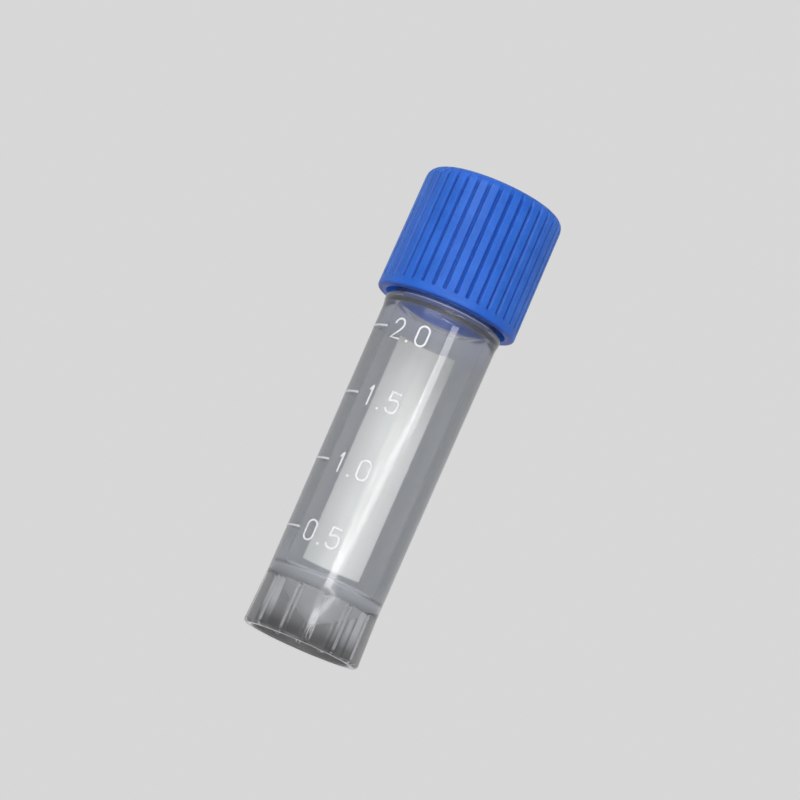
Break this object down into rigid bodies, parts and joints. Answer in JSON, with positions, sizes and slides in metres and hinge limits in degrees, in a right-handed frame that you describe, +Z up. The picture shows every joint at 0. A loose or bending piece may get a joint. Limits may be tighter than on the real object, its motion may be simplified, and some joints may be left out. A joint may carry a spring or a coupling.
{
  "type": "cryovial",
  "caption": "Self-standing clear plastic cryovial with a graduated tube, a printed writing patch and a ribbed screw cap that carries a seal.",
  "frame": {"origin": "middle of the ring that the vial stands on", "axes": "+Z runs up the axis of the vial to the cap, and -Y is the side that the scale is read from"},
  "size_m": [0.0144, 0.0144, 0.048],
  "materials": {
    "vial": "clear, glossy moulded polypropylene",
    "cap": "opaque blue moulded polypropylene, satin gloss",
    "seal": "translucent silicone",
    "print": "matt white ink"
  },
  "bodies": {
    "vial": {"vial": "vial", "writing_patch": "print", "graduation_marks": "print"},
    "seal": {"seal": "seal"},
    "cap": {"cap": "cap"}
  },
  "joints": [
    {"name": "cap_rise", "type": "slide", "parent": "vial", "child": "seal", "axis": [0, 0, 1], "range_m": [0, 0.012]},
    {"name": "cap_turn", "type": "hinge", "parent": "seal", "child": "cap", "pos_m": [0, 0, 0.0415], "axis": [0, 0, 1], "range_deg": [0, 1441]}
  ],
  "couplings": [
    {"joint": "cap_turn", "follows": "cap_rise", "rad_per_m": 2094.4}
  ]
}
